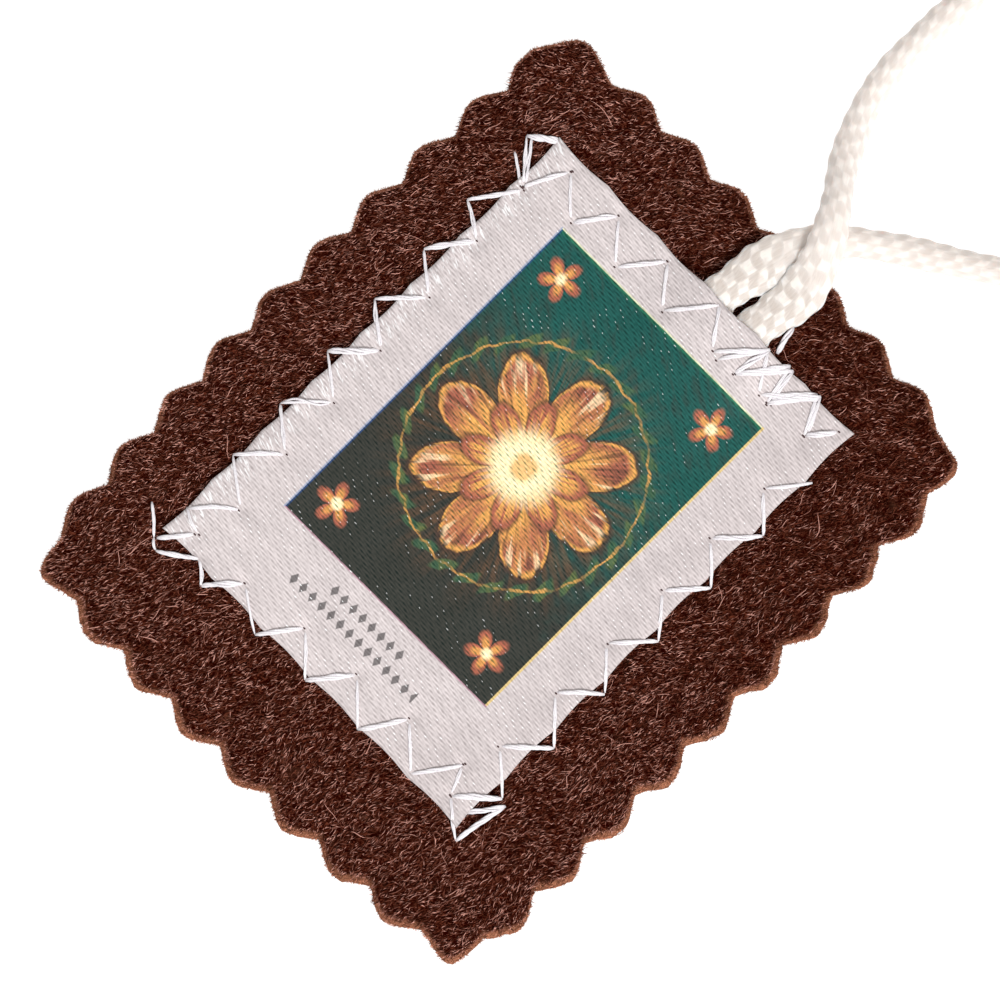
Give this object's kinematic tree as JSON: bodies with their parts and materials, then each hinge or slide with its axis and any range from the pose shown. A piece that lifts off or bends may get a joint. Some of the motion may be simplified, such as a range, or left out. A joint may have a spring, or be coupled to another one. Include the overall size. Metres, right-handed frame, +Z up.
{
  "type": "cloth devotional scapular",
  "caption": "Small devotional scapular: scalloped brown felt panels with satin patches sewn on, joined by thin braided cords, laid flat.",
  "frame": {"origin": "middle of the front panel's flat underside, on the surface that the scapular lies on", "axes": "+X to the front panel's right, +Y from the front panel along its length towards the cords and the back panel, +Z up"},
  "size_m": [0.047, 0.1824, 0.0064],
  "materials": {
    "felt": "matte brown wool felt with a short nap",
    "satin": "off-white woven satin, printed on the front panel",
    "cord": "white glossy braided cord"
  },
  "bodies": {
    "root": {"front_felt": "felt", "front_patch": "satin", "back_felt": "felt", "back_patch": "satin", "cord_1_front": "cord", "cord_2_front": "cord", "cord_coil": "cord", "cord_1_back": "cord", "cord_2_back": "cord"}
  },
  "joints": []
}
